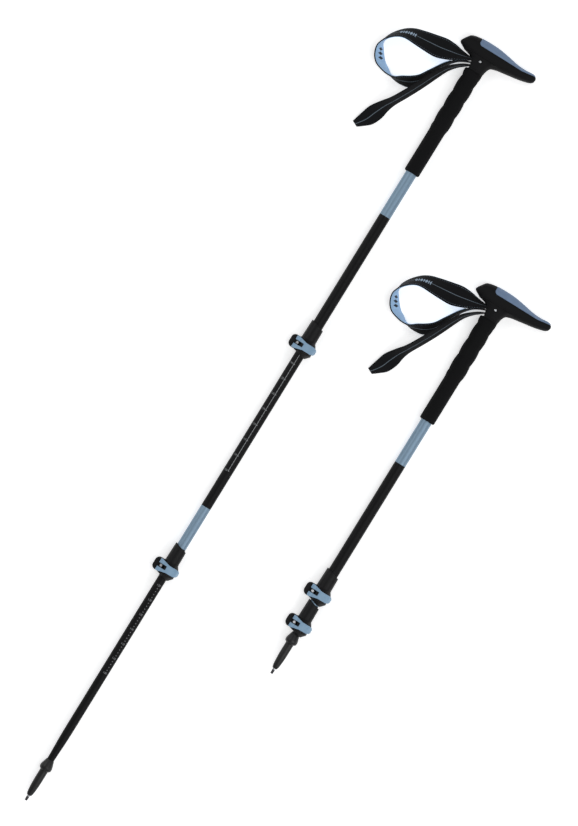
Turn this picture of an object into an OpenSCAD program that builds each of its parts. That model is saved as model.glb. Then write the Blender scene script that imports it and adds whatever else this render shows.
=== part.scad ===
// A pair of three-section trekking poles with T-handles, flip-lever locks and wrist straps.
// Both poles lie flat on the ground with their shafts along Y and their handles towards +Y.
// The long pole is pulled out to its full length and the short one is pushed together.
// Every pole has three assemblies, drawn about its own shaft axis: the lower one is measured
// from the tip, the middle and the upper one from the middle of their locks' levers.

/* [Pair] */
// Distance between the two shafts
pair_gap = 218; // [205:1:260]
// How far the short pole's head lies back from the long pole's head
head_offset = 310; // [280:1:340]
// Height of both shaft axes above the ground
axis_h = 16; // [16:0.1:18]

/* [Sections] */
// Tip to lower lock when pulled out
lower_out = 414; // [300:1:420]
// Tip to lower lock when pushed in
lower_in = 86; // [84:1:120]
// Lower lock to upper lock when pulled out
middle_out = 398; // [300:1:410]
// Lower lock to upper lock when pushed in
middle_in = 55; // [55:1:90]
// Length of tube that stays inside the next one when pulled out
overlap = 84; // [60:1:90]

/* [Tubes] */
// Outer diameter of the upper tube
upper_d = 18; // [18:1:18]
// Outer diameter of the middle tube
middle_d = 16; // [16:1:16]
// Outer diameter of the lower tube
lower_d = 14; // [14:1:14]
// Wall of all three tubes
wall = 0.8; // [0.7:0.1:0.8]

/* [Grip] */
// Upper lock to the bottom of the foam grip
grip_low = 311; // [290:1:330]
// Upper lock to the neck of the handle
neck = 492; // [480:1:510]
// Radius of the smooth part of the foam grip
grip_r = 12.5; // [11.5:0.1:13.5]
// Width of the handle across the palm
head_w = 32; // [30:0.5:32]
// Thickness of the strap's webbing and of the soft lining inside its loop
strap_t = 1.3; // [1:0.1:1.4]

/* [Locks] */
// Wall of the split clamp around the inner tube
clamp_wall = 7.8; // [7.4:0.1:8]
// Half height of the lever's band
band_half = 6.3; // [5:0.1:7]
// Half height of the lever's fork and of the clamp's ears
fork_half = 10; // [9:0.1:10.5]
// Thickness of the lever's band
band_t = 3.3; // [2.5:0.1:3.5]

/* [Ferrule] */
// Radius of the seat that a snow or mud basket slides onto
seat_r = 6.5; // [6:0.1:6.8]
// Lower and upper end of that seat, from the tip
seat_low = 32; // [28:1:36]
seat_high = 53.5; // [50:0.5:55]
// Radius of the collar that stops the basket
stop_r = 9.8; // [9:0.1:11]

/* [Hidden] */
$fn = 64;
POLES = ["long", "short"];
LOCK_PIECES = ["collar", "lever", "barrel", "screw", "washer"];
UPPER = ["handle", "palm_pad", "strap_pin", "strap_wedge", "strap_eye", "wrist_strap", "strap_lining",
         "strap_tail", "foam_grip", "upper_tube"];
MIDDLE = ["middle_tube", "middle_guide"];
LOWER = ["lower_tube", "lower_guide", "ferrule", "tip_holder", "tip_point"];
NODES = [for (pole = POLES)
             for (piece = concat(UPPER, [for (p = LOCK_PIECES) str("upper_lock_", p)],
                                 MIDDLE, [for (p = LOCK_PIECES) str("lower_lock_", p)], LOWER))
                 str(pole, "_", piece)];
node = "all";

run = 0.05;                // radial clearance of what turns or slides
upper_r = upper_d / 2;
middle_r = middle_d / 2;
lower_r = lower_d / 2;
half_w = head_w / 2;
nose_x = 87.2;             // front end of the handle, from the shaft axis
strap_x = -148.25;         // outermost point of the wrist strap
head_top = 51;             // neck to the top of the handle
long_len = lower_out + middle_out + neck + head_top;

// Lock: the oblique faces at both ends, where they cross the axis, and their slope
mouth_y = -14.5;
mouth_slope = -0.3;
sleeve_y = 38.5;
sleeve_slope = -0.33;
eye_r = 5;                 // lever's pivot eye
barrel_r = 3;
screw_r = 2;
neck_r = 5.5;              // narrow end of the lower tube
gap = 0.3;                 // clamp to lever
slit = 1.6;                // width of the clamp's slit

// Handle, from the middle of its neck: side outline and, seen from above, half outline
HEAD_SIDE = [[-44, 31.5], [-41.5, 38], [-33, 46.6], [-14, 50.8], [12, 51], [32, 48.4], [51, 44.9],
             [66, 44], [79, 45], [85, 43], [87.2, 39], [85.6, 33.6], [80, 30], [66, 26.4],
             [49, 23.6], [30, 20.8], [20, 16], [10, 11], [-10, 11], [-18, 17.8], [-27, 20.8],
             [-37, 24.4], [-42.4, 27.8]];
HEAD_PLAN = [[-44, 6], [-42, 11], [-36, 14.4], [-24, 15.9], [-8, 16], [20, 16], [44, 15.4],
             [64, 14], [78, 12], [85, 9], [87.2, 5]];
PAD_EDGE = [[-10.5, 60], [-14.5, 45], [-14.8, 42], [-12.5, 40], [-9, 39.2], [62, 39.2], [95, 44.6],
            [95, 60]];
pin_at = [0.5, 17.5];
slot_low = 0.6;            // slot for the strap: lower end, and half its height
slot_z = 11;
// Strap: upper edge x and y, lower edge x and y, width of the webbing, height of its middle.
// The loop starts above the pin and comes back below it, and the tail starts under that.
LOOP = [[-5.5, 17.6, -5.5, 19.2, 18, 0], [-12, 13.6, -12, 17.6, 18.5, 0], [-20, 9, -22, 18, 21, -1],
        [-32, 2.2, -33, 20.2, 26, -3], [-45, -5, -45, 23.2, 32, -5], [-62, -11, -60, 24, 36, -7],
        [-80, -12, -78, 20.5, 35, -6], [-97, -12, -97, 16, 34, -4], [-112, -11.5, -111, 11.5, 33, -2],
        [-122, -13, -123, 4, 32, -1], [-131, -18, -134, -8, 31, 0], [-138.5, -25, -141, -21, 30, 0],
        [-144, -33, -141.5, -32, 29, 0], [-147, -43, -136, -40, 28, -1], [-143, -56, -128, -50, 27, -1],
        [-134.5, -65.5, -121, -57, 26, -2], [-122, -70, -113, -62, 25, -3],
        [-110, -71.5, -107, -67, 24, -3], [-99, -69, -99, -71, 24, -3], [-90, -61.5, -87, -72.5, 23, -4],
        [-79, -54, -73, -70, 23, -5], [-69, -45.5, -61, -59, 22, -6], [-61.5, -34, -52, -42, 21, -6],
        [-54.5, -23.5, -47.5, -28, 19, -5], [-47, -12.5, -43, -15, 17.5, -4],
        [-39, -3, -36.5, -5, 16, -4], [-29, 4.2, -28, 3, 14, -4], [-17.5, 9.4, -17.5, 8.2, 12, -4],
        [-6, 13.6, -6, 12.8, 12, -3]];
TAIL = [[-4.5, 10.2, -4.5, 9.6, 17, 0], [-11, 7.4, -10.5, 6.4, 17, 0], [-20, 3.2, -17.5, 0.8, 17, 1],
        [-29.5, -3.6, -25.5, -6.4, 18, 2], [-40, -13, -34, -17.5, 19, 4], [-49.5, -26.5, -40.5, -31, 20, 5],
        [-57.5, -41, -47, -46, 21, 5], [-66, -58, -55, -63.5, 22, 3], [-77, -79, -66, -85, 23, 0],
        [-88, -98, -76, -103.5, 24, -4], [-99, -112, -80.5, -117, 25, -6.5],
        [-108.5, -126, -83, -132, 27, -10], [-113.5, -141, -90, -147, 25, -11],
        [-117, -153, -102, -157.5, 17, -12], [-118.5, -158.5, -109, -163, 11, -12]];

function pole_x(pole) = (pole == "long" ? 0 : pair_gap) - (strap_x + pair_gap + nose_x) / 2;
function upper_y(pole) = long_len / 2 - head_top - neck - (pole == "long" ? 0 : head_offset);
function middle_y(pole) = upper_y(pole) - (pole == "long" ? middle_out : middle_in);
function lower_y(pole) = middle_y(pole) - (pole == "long" ? lower_out : lower_in);
function wanted(pole, piece) = node == "all" || node == str(pole, "_", piece);

// Catmull-Rom curve through rows of numbers, with n steps to each span
function between(a, b, c, d, t) =
    b + (c - a) * t / 2 + (2 * a - 5 * b + 4 * c - d) * t * t / 2
      + (3 * b - 3 * c + d - a) * t * t * t / 2;
function open_curve(p, n) =
    [for (i = [0 : len(p) - 2]) for (k = [0 : n - 1])
         between(p[max(i - 1, 0)], p[i], p[i + 1], p[min(i + 2, len(p) - 1)], k / n),
     p[len(p) - 1]];
function closed_curve(p, n) =
    [for (i = [0 : len(p) - 1]) for (k = [0 : n - 1])
         between(p[(i + len(p) - 1) % len(p)], p[i], p[(i + 1) % len(p)], p[(i + 2) % len(p)], k / n)];

// A rise that gives the webbing its width where its edges are closer together seen from above
function rise(r) = sqrt(max(0, r[4] * r[4] - pow(r[0] - r[2], 2) - pow(r[1] - r[3], 2)));
function top_edge(r) = [r[0], r[1], r[5] + rise(r) / 2];
function low_edge(r) = [r[2], r[3], r[5] - rise(r) / 2];
function unit(v) = v / norm(v);
// The same row with its edges drawn in by the given amount on both sides
function trimmed(r, cut) =
    let (d = [r[2] - r[0], r[3] - r[1]] * cut / r[4])
        [r[0] + d[0], r[1] + d[1], r[2] - d[0], r[3] - d[1], r[4] - 2 * cut, r[5]];
function band_normal(rows, i) =
    let (a = rows[max(i - 1, 0)], b = rows[min(i + 1, len(rows) - 1)])
        unit(cross(top_edge(b) + low_edge(b) - top_edge(a) - low_edge(a),
                   low_edge(rows[i]) - top_edge(rows[i])));

module turned(profile) rotate([-90, 0, 0]) rotate_extrude() polygon(profile);
module rod(r, y0, y1) translate([0, y0, 0]) rotate([-90, 0, 0]) cylinder(r = r, h = y1 - y0);
module upright(r, z0, z1) translate([0, 0, z0]) cylinder(r = r, h = z1 - z0);
// Carries a section drawn in X and Z along the shaft
module along(y0, y1) translate([0, y1, 0]) rotate([90, 0, 0]) linear_extrude(y1 - y0) children();
// Everything below an oblique plane that crosses the axis at y, or above it
module below_plane(y, slope)
    translate([0, y, 0]) rotate([0, 0, atan(slope)]) translate([-60, -120, -60]) cube(120);
module above_plane(y, slope)
    translate([0, y, 0]) rotate([0, 0, atan(slope)]) translate([-60, 0, -60]) cube(120);
module tube(r, y0, y1) turned([[r - wall, y0], [r, y0], [r, y1], [r - wall, y1]]);

// A ribbon along the rows, from shift to shift + thick in front of their surface
module ribbon(rows, thick, shift) {
    last = len(rows) - 1;
    corners = [for (i = [0 : last])
                   let (t = top_edge(rows[i]), b = low_edge(rows[i]), n = band_normal(rows, i),
                        front = n * (shift + thick), back = n * shift)
                       each [t + front, b + front, b + back, t + back]];
    quads = concat([[0, 1, 2, 3]],
                   [for (i = [0 : last - 1]) for (k = [0 : 3])
                        [4 * i + (k + 1) % 4, 4 * i + k, 4 * i + 4 + k, 4 * i + 4 + (k + 1) % 4]],
                   [[4 * last + 3, 4 * last + 2, 4 * last + 1, 4 * last]]);
    polyhedron(points = corners, faces = [for (q = quads) each [[q[0], q[1], q[2]], [q[0], q[2], q[3]]]]);
}

// ---- handle, grip and strap, from the neck of the handle ----

module head_block(side_cut) {
    intersection() {
        translate([0, 0, -half_w]) linear_extrude(head_w) intersection() {
            polygon(closed_curve(HEAD_SIDE, 4));
            if (side_cut == "pad") polygon(PAD_EDGE);
            else difference() { translate([-60, -10]) square([160, 80]); polygon(PAD_EDGE); }
        }
        translate([0, 60, 0]) rotate([90, 0, 0]) linear_extrude(60)
            polygon(concat([for (p = open_curve(HEAD_PLAN, 3)) [p[0], -p[1]]],
                           [for (i = [3 * (len(HEAD_PLAN) - 1) : -1 : 0]) open_curve(HEAD_PLAN, 3)[i]]));
    }
}

module handle() {
    color("#17181a") difference() {
        union() {
            head_block("core");
            turned([[0, 0], [14.6, 0], [15, 3], [15.4, 8], [16, 14], [16, 24], [0, 24]]);
            rod(upper_r - wall, -38, 1);
        }
        translate([-26, slot_low, -slot_z]) cube([33, 23 - slot_low, 2 * slot_z]);
        translate([-12, 20, -slot_z]) cube([18, 8.2, 2 * slot_z]);
        translate(pin_at) upright(2, -half_w - 1, half_w + 1);
    }
}

module palm_pad() {
    color("#5d7186") head_block("pad");
}

module strap_pin() {
    color("#c8ccd0") translate(pin_at) upright(2, -half_w + 0.1, half_w - 0.1);
}

module strap_wedge() {
    color("#202226") translate([0, 0, -slot_z + 0.6]) linear_extrude(2 * slot_z - 1.2)
        polygon([[-8, 24.6], [-5, 23.2], [5.4, 23.2], [5.4, 27.8], [-8, 27.8]]);
}

module strap_eye() {
    color("#1b1c1f") translate(pin_at) difference() {
        upright(4.9, -9, 9);
        upright(2 + run, -10, 10);
    }
}

module wrist_strap() {
    color("#1f2126") ribbon(open_curve(LOOP, 2), -strap_t, -0.15);
}

module strap_lining() {
    color("#86b0d6") ribbon(open_curve([for (i = [3 : 25]) trimmed(LOOP[i], 1.2)], 2), strap_t, 0.15);
}

module strap_tail() {
    color("#1b1c1f") ribbon(open_curve(TAIL, 2), strap_t, 0);
}

module foam_grip() {
    ribs = grip_low + 84;  // the finger ribs start here
    pitch = 27.6;
    color("#141517") turned(concat(
        [[upper_r, grip_low], [grip_r - 0.8, grip_low], [grip_r - 0.2, grip_low + 2],
         [grip_r, grip_low + 6], [grip_r, ribs - 8]],
        [for (y = [ribs : 2.3 : neck - 10]) [grip_r + 1.05 - 0.65 * cos(360 * (y - ribs + 4) / pitch), y]],
        [[14.6, neck - 5], [14.6, neck], [upper_r, neck]]));
}

module upper_tube() {
    color("#1a1b1e") tube(upper_r, 1, neck);
}

// ---- locks, from the middle of the lever ----

function clamp_r(inner_r) = inner_r + clamp_wall;
function pivot_x(inner_r) = 2.9 - clamp_r(inner_r);
function pivot_z(inner_r) = sqrt(pow(clamp_r(inner_r) + 1.3, 2) - pow(pivot_x(inner_r), 2));
function ear_top(inner_r) = pivot_z(inner_r) - eye_r - gap;

module lock_collar(tube_r, inner_r) {
    clamp = clamp_r(inner_r);
    sleeve = tube_r + 3.2;
    ear_end = clamp + 9.6;
    ear_half = fork_half + 0.5;
    ear_round = 7;
    color("#141517") difference() {
        union() {
            difference() {
                turned([[0, -17], [inner_r + 1, -17], [clamp, -9.5], [clamp, 6.6], [sleeve + 0.2, 11.5],
                        [sleeve, 13], [sleeve - 0.7, sleeve_y + 6], [0, sleeve_y + 6]]);
                below_plane(mouth_y, mouth_slope);
                above_plane(sleeve_y, sleeve_slope);
            }
            for (side = [[-inner_r, -slit / 2], [slit / 2, ear_top(inner_r)]])
                translate([0, 0, side[0]]) linear_extrude(side[1] - side[0]) {
                    translate([-ear_end + ear_round, -ear_half])
                        square([ear_end - inner_r - ear_round - 1, 2 * ear_half]);
                    translate([-ear_end, -ear_half + ear_round]) square([10, 2 * (ear_half - ear_round)]);
                    for (s = [-1, 1])
                        translate([-ear_end + ear_round, s * (ear_half - ear_round)]) circle(ear_round);
                }
        }
        rod(inner_r + run, -20, 2);
        rod(tube_r, 1, 60);
        translate([0, -20, 0]) rotate([-90, 0, 0]) cylinder(r1 = inner_r + 2.4, r2 = inner_r, h = 9);
        translate([-ear_end - 1, -20, -slit / 2]) cube([ear_end, 20 + ear_half, slit]);
        for (z = [ear_top(inner_r), -inner_r - 20])
            translate([-ear_end, -ear_half, z]) cube([ear_end - inner_r + 0.5, 2 * ear_half, 20]);
        translate([pivot_x(inner_r), 0, 0]) upright(screw_r + gap, -30, 30);
    }
}

module lock_lever(inner_r) {
    low = clamp_r(inner_r) + gap;
    high = low + band_t;
    reach = 3 * high;
    edge = [[-25, fork_half], [-14, fork_half], [0, band_half], [high - 6, band_half],
            [high - 2, band_half - 1.3], [high + 0.5, band_half - 4.2]];
    color("#6f93b5") intersection() {
        difference() {
            along(-fork_half, fork_half) difference() {
                union() {
                    intersection() {
                        difference() { circle(high); circle(low); }
                        polygon([[0, 0], reach * [cos(-20), sin(-20)], reach * [1, 1],
                                 reach * [-1, 1], [pivot_x(inner_r), pivot_z(inner_r)]]);
                    }
                    translate([pivot_x(inner_r), pivot_z(inner_r)]) circle(eye_r);
                    rotate(-20) translate([(low + high) / 2 + 0.2, 0]) circle(band_t / 2 + 0.2);
                }
                translate([pivot_x(inner_r), pivot_z(inner_r)]) circle(barrel_r + run);
            }
            translate([-30, -3.2, 0]) cube([27, 6.4, 30]);
        }
        translate([0, 0, -30]) linear_extrude(60)
            polygon(concat(edge, [for (i = [len(edge) - 1 : -1 : 0]) [edge[i][0], -edge[i][1]]]));
    }
}

module lock_barrel(inner_r) {
    color("#b9bdc1") difference() {
        translate([pivot_x(inner_r), 0, pivot_z(inner_r)]) rod(barrel_r, -fork_half + 0.6, fork_half - 0.6);
        translate([pivot_x(inner_r), 0, 0]) upright(screw_r + run, 0, 30);
    }
}

module lock_screw(inner_r) {
    head_low = -inner_r - 1.1 - 4.6;
    color("#9ea2a6") translate([pivot_x(inner_r), 0, 0]) {
        upright(screw_r, head_low + 1, pivot_z(inner_r) + barrel_r + 0.4);
        difference() {
            upright(5.4, head_low, -inner_r - 1.1);
            for (a = [0 : 30 : 330]) rotate(a) translate([5.7, 0, 0]) upright(0.8, head_low - 1, 0);
            translate([-4, -0.6, head_low - 1]) cube([8, 1.2, 2.2]);
        }
    }
}

module lock_washer(inner_r) {
    color("#c8ccd0") translate([pivot_x(inner_r), 0, 0]) difference() {
        upright(4.5, -inner_r - 1, -inner_r);
        upright(screw_r + 0.2, -inner_r - 2, 0);
    }
}

// ---- middle and lower assemblies ----

module middle_tube() {
    color("#1a1b1e") tube(middle_r, 1, middle_out + overlap);
}

module guide(tube_r, end) {
    bore = tube_r - wall - 1.4;
    color("#34363a") turned([[bore, end - 14], [tube_r - wall, end - 14], [tube_r - wall, end],
                             [tube_r + 0.15, end], [tube_r + 0.15, end + 5], [bore, end + 5]]);
}

module lower_tube() {
    top = lower_out + overlap;
    color("#1a1b1e") turned([[neck_r - wall, seat_high + 2], [neck_r, seat_high + 2],
                             [neck_r, seat_high + 19], [lower_r, seat_high + 61], [lower_r, top],
                             [lower_r - wall, top], [lower_r - wall, seat_high + 61],
                             [neck_r - wall, seat_high + 19]]);
}

module ferrule() {
    color("#141517") difference() {
        turned([[0, 9], [3.6, 9], [5, 13], [5.8, 20], [seat_r, seat_low], [seat_r, seat_high],
                [9, seat_high + 1.5], [stop_r, seat_high + 4], [stop_r, seat_high + 7],
                [neck_r + 0.8, seat_high + 18.5], [neck_r, seat_high + 18.5], [neck_r, seat_high + 2],
                [0, seat_high + 2]]);
        rod(2.4, 0, 27);
    }
}

module tip_holder() {
    color("#b4b8bc") difference() {
        rod(2.4, 6.4, 27);
        rod(1.2, 5, 14);
    }
}

module tip_point() {
    color("#4a4c50") turned([[0, 1], [1.2, 0], [1.9, 0], [2.3, 6.4], [1.2, 6.4], [1.2, 14], [0, 14]]);
}

// ---- placing ----

module on_upper(pole) translate([pole_x(pole), upper_y(pole), axis_h]) children();
module on_neck(pole) on_upper(pole) translate([0, neck, 0]) children();
module on_middle(pole) translate([pole_x(pole), middle_y(pole), axis_h]) children();
module on_lower(pole) translate([pole_x(pole), lower_y(pole), axis_h]) children();

for (pole = POLES) {
    if (wanted(pole, "handle")) on_neck(pole) handle();
    if (wanted(pole, "palm_pad")) on_neck(pole) palm_pad();
    if (wanted(pole, "strap_pin")) on_neck(pole) strap_pin();
    if (wanted(pole, "strap_wedge")) on_neck(pole) strap_wedge();
    if (wanted(pole, "strap_eye")) on_neck(pole) strap_eye();
    if (wanted(pole, "wrist_strap")) on_neck(pole) wrist_strap();
    if (wanted(pole, "strap_lining")) on_neck(pole) strap_lining();
    if (wanted(pole, "strap_tail")) on_neck(pole) strap_tail();
    if (wanted(pole, "foam_grip")) on_upper(pole) foam_grip();
    if (wanted(pole, "upper_tube")) on_upper(pole) upper_tube();
    if (wanted(pole, "upper_lock_collar")) on_upper(pole) lock_collar(upper_r, middle_r);
    if (wanted(pole, "upper_lock_lever")) on_upper(pole) lock_lever(middle_r);
    if (wanted(pole, "upper_lock_barrel")) on_upper(pole) lock_barrel(middle_r);
    if (wanted(pole, "upper_lock_screw")) on_upper(pole) lock_screw(middle_r);
    if (wanted(pole, "upper_lock_washer")) on_upper(pole) lock_washer(middle_r);
    if (wanted(pole, "middle_tube")) on_middle(pole) middle_tube();
    if (wanted(pole, "middle_guide")) on_middle(pole) guide(middle_r, middle_out + overlap);
    if (wanted(pole, "lower_lock_collar")) on_middle(pole) lock_collar(middle_r, lower_r);
    if (wanted(pole, "lower_lock_lever")) on_middle(pole) lock_lever(lower_r);
    if (wanted(pole, "lower_lock_barrel")) on_middle(pole) lock_barrel(lower_r);
    if (wanted(pole, "lower_lock_screw")) on_middle(pole) lock_screw(lower_r);
    if (wanted(pole, "lower_lock_washer")) on_middle(pole) lock_washer(lower_r);
    if (wanted(pole, "lower_tube")) on_lower(pole) lower_tube();
    if (wanted(pole, "lower_guide")) on_lower(pole) guide(lower_r, lower_out + overlap);
    if (wanted(pole, "ferrule")) on_lower(pole) ferrule();
    if (wanted(pole, "tip_holder")) on_lower(pole) tip_holder();
    if (wanted(pole, "tip_point")) on_lower(pole) tip_point();
}
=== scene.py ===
# A pair of trekking poles, one pulled out and one pushed together, on a pale studio floor.
# Shapes are worked out in millimetres from a place on each pole's own shaft, then set down twice.
import bmesh
import bpy
import numpy as np
from math import pi, radians
from mathutils import Matrix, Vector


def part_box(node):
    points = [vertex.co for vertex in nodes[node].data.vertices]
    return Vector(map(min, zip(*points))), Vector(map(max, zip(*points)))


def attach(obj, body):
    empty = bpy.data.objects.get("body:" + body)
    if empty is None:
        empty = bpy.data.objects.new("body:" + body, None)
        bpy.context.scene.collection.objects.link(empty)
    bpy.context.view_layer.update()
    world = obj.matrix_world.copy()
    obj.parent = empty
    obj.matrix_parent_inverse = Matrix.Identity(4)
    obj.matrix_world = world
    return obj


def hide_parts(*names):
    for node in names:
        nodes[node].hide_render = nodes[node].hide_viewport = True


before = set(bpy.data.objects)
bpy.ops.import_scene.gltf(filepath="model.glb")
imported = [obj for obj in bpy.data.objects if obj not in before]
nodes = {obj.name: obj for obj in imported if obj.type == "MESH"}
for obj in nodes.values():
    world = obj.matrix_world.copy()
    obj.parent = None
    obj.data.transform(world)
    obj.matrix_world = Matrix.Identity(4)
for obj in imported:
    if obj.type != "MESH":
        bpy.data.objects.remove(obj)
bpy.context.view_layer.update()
mm = 0.001
poles = ("long", "short")
print("frame loaded:", len(nodes), "nodes")


def boxOf(node):  # lowest and highest corner in millimetres
    return [np.array(corner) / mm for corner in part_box(node)]


where = {}  # four places on each shaft's axis
for pole in poles:
    low, high = boxOf(pole + "_upper_tube")
    middle = (low + high) / 2
    onAxis = lambda y: np.array([middle[0], y, middle[2]])
    where[pole] = {"neck": onAxis(high[1]), "upper": onAxis(low[1] - 1),
                   "middle": onAxis(boxOf(pole + "_middle_tube")[0][1] - 1),
                   "tip": onAxis(boxOf(pole + "_tip_point")[0][1])}

# Shapes as arrays


def curve(points, steps):
    # Catmull-Rom: each span is a cubic whose slopes at its ends are half the step between neighbours
    p = np.asarray(points, float)
    p = np.concatenate([2 * p[:1] - p[1:2], p, 2 * p[-1:] - p[-2:-1]])
    t = (np.arange(steps) / steps)[:, None, None]
    a, b, c, d = p[:-3], p[1:-2], p[2:-1], p[3:]
    spans = b + (c - a) * t / 2 + (2 * a - 5 * b + 4 * c - d) * t**2 / 2 + (3 * b - 3 * c + d - a) * t**3 / 2
    return np.concatenate([spans.transpose(1, 0, 2).reshape(-1, p.shape[1]), p[-2:-1]])


def smooth(x, low=0.0, high=1.0):  # 0 below low, 1 above high, an S between them
    t = np.clip((x - low) / (high - low), 0, 1)
    return t * t * (3 - 2 * t)


def power(x, n):  # signed power, for superellipses
    return np.sign(x) * np.abs(x) ** n


def unit(v):
    return v / np.maximum(np.linalg.norm(v, axis=-1, keepdims=True), 1e-9)


def along(line):  # distance along a line of points
    return np.append(0, np.cumsum(np.linalg.norm(np.diff(line, axis=0), axis=1)))


def grid(points, wrapU=False, wrapV=False, u=None, v=None):
    # A surface through a grid of points. A wrapped direction joins its last row to its first;
    # u and v are the running lengths that go into the UV map.
    rows, columns = points.shape[:2]
    i, j = np.meshgrid(np.arange(rows - (not wrapU)), np.arange(columns - (not wrapV)), indexing="ij")
    corners = ((i, j), (i + 1, j), (i + 1, j + 1), (i, j + 1))
    faces = np.stack([(a % rows) * columns + b % columns for a, b in corners], -1).reshape(-1, 4)
    u = np.arange(rows + 1.0) if u is None else np.append(u, 2 * u[-1] - u[-2])
    v = np.arange(columns + 1.0) if v is None else np.append(v, 2 * v[-1] - v[-2])
    uv = np.stack([np.stack([u[a], v[b]], -1) for a, b in corners], -2).reshape(-1, 4, 2)
    return points.reshape(-1, 3), faces, uv


def joined(*surfaces):  # several surfaces as one
    starts = np.cumsum([0] + [len(s[0]) for s in surfaces[:-1]])
    return (np.concatenate([s[0] for s in surfaces]),
            np.concatenate([s[1] + start for s, start in zip(surfaces, starts)]),
            np.concatenate([s[2] for s in surfaces]))


def repeated(shape, places):
    # One small surface set down at many places, each a 3 x 3 frame with a point as a fourth row
    points, faces, uv = shape
    spots = np.einsum("pk,nkc->npc", points, places[:, :3]) + places[:, 3:]
    starts = np.arange(len(places))[:, None, None] * len(points)
    return (spots.reshape(-1, 3), (faces + starts).reshape(-1, faces.shape[1]),
            np.tile(uv, (len(places), 1, 1)))


def rounded(corners, radii, steps=5):
    # A closed outline whose corners are cut back by their radius and bridged by a parabola
    p = np.asarray(corners, float)
    before, after = np.roll(p, 1, 0) - p, np.roll(p, -1, 0) - p
    reach = np.minimum(np.minimum(np.linalg.norm(before, axis=1), np.linalg.norm(after, axis=1)) * 0.48,
                       np.broadcast_to(radii, len(p)))[:, None]
    start, end = p + unit(before) * reach, p + unit(after) * reach
    t = np.linspace(0, 1, steps)[:, None, None]
    return (start * (1 - t)**2 + 2 * p * t * (1 - t) + end * t**2).transpose(1, 0, 2).reshape(-1, 2)


def turned(profile, turns=96, longest=6.0):
    # A closed outline of (radius, y) turned once round the shaft: x = r cos a, z = r sin a
    ring = np.concatenate([profile, profile[:1]])
    pieces = [np.linspace(a, b, max(2, int(np.ceil(np.linalg.norm(b - a) / longest)) + 1))[:-1]
              for a, b in zip(ring[:-1], ring[1:])]
    ring = np.concatenate(pieces)
    angle = np.arange(turns) * 2 * pi / turns
    r, y = ring[:, 0], ring[:, 1]
    points = np.stack([np.outer(np.cos(angle), r), np.tile(y, (turns, 1)), np.outer(np.sin(angle), r)], -1)
    return grid(points, True, True, angle * r.max(), y)


def shell(outer, inner):
    # Two grids of the same size, closed by strips round their four edges
    strips = [grid(np.stack([a, b])) for a, b in ((outer[0], inner[0]), (outer[-1], inner[-1]),
                                                  (outer[:, 0], inner[:, 0]), (outer[:, -1], inner[:, -1]))]
    return joined(grid(outer), grid(inner), *strips)


def normals(points):  # of a grid, from the steps between its rows and columns
    return unit(np.cross(np.gradient(points, axis=0), np.gradient(points, axis=1)))


# Shapes as meshes


def meshOf(surface, weld=0.002):
    points, faces, uv = surface
    mesh = bpy.data.meshes.new("shape")
    mesh.from_pydata(points.tolist(), [], faces.tolist())
    mesh.uv_layers.new(name="UVMap").data.foreach_set("uv", uv.ravel())
    return tidied(mesh, weld)


def tidied(mesh, weld=0.002):  # doubles merged, then faces turned outwards
    work = bmesh.new()
    work.from_mesh(mesh)
    bmesh.ops.remove_doubles(work, verts=work.verts, dist=weld)
    bmesh.ops.dissolve_degenerate(work, edges=work.edges, dist=1e-5)
    bmesh.ops.recalc_face_normals(work, faces=work.faces)
    work.to_mesh(mesh)
    work.free()
    return mesh


def worked(mesh, *modifiers):
    # A mesh after a chain of modifiers, each a type and its settings
    holder = bpy.data.objects.new("holder", mesh)
    bpy.context.scene.collection.objects.link(holder)
    for kind, settings in modifiers:
        modifier = holder.modifiers.new(kind, kind)
        for name, value in settings.items():
            setattr(modifier, name, value)
    result = bpy.data.meshes.new_from_object(holder.evaluated_get(bpy.context.evaluated_depsgraph_get()))
    bpy.data.objects.remove(holder)
    return result


def fused(mesh, voxel, passes):  # overlapping closed shapes become one skin, then its edges relax
    return worked(mesh, ("REMESH", {"mode": "VOXEL", "voxel_size": voxel}),
                  ("SMOOTH", {"factor": 0.5, "iterations": passes}))


def cut(mesh, tool):
    other = bpy.data.objects.new("tool", tool)
    bpy.context.scene.collection.objects.link(other)
    result = worked(mesh, ("BOOLEAN", {"operation": "DIFFERENCE", "object": other, "solver": "EXACT"}))
    bpy.data.objects.remove(other)
    return result


def pushed(mesh, depth):
    # Moves each point along its normal by depth(points, normals), in millimetres
    count = len(mesh.vertices)
    points, outwards = np.empty(count * 3), np.empty(count * 3)
    mesh.vertices.foreach_get("co", points)
    mesh.vertex_normals.foreach_get("vector", outwards)
    points, outwards = points.reshape(-1, 3), outwards.reshape(-1, 3)
    mesh.vertices.foreach_set("co", (points + outwards * depth(points, outwards)[:, None]).ravel())
    mesh.update()
    return mesh


def cadCopy(node, at):  # a CAD node's shape, from its place on the long pole
    mesh = nodes["long_" + node].data.copy()
    mesh.materials.clear()
    mesh.transform(Matrix.Scale(1 / mm, 4))
    mesh.transform(Matrix.Translation(tuple(-where["long"][at])))
    return tidied(mesh, 0.004)


def place(name, mesh, at, body, slot, material, replaced=(), smoothed=True):
    # Sets a shape down on both poles, moves it with a body and lets it stand for CAD nodes
    made = {}
    for pole in poles:
        copy = mesh.copy()
        copy.transform(Matrix.Translation(tuple(where[pole][at])))
        copy.transform(Matrix.Scale(mm, 4))
        copy.polygons.foreach_set("use_smooth", np.full(len(copy.polygons), smoothed))
        copy.materials.clear()
        copy.materials.append(material)
        piece = bpy.data.objects.new(f"{pole}_{name}", copy)
        bpy.context.scene.collection.objects.link(piece)
        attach(piece, f"{pole}_{body}")
        if replaced:
            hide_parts(*[f"{pole}_{node}" for node in replaced])
        made[pole] = piece
    return made


# Finishes


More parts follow.
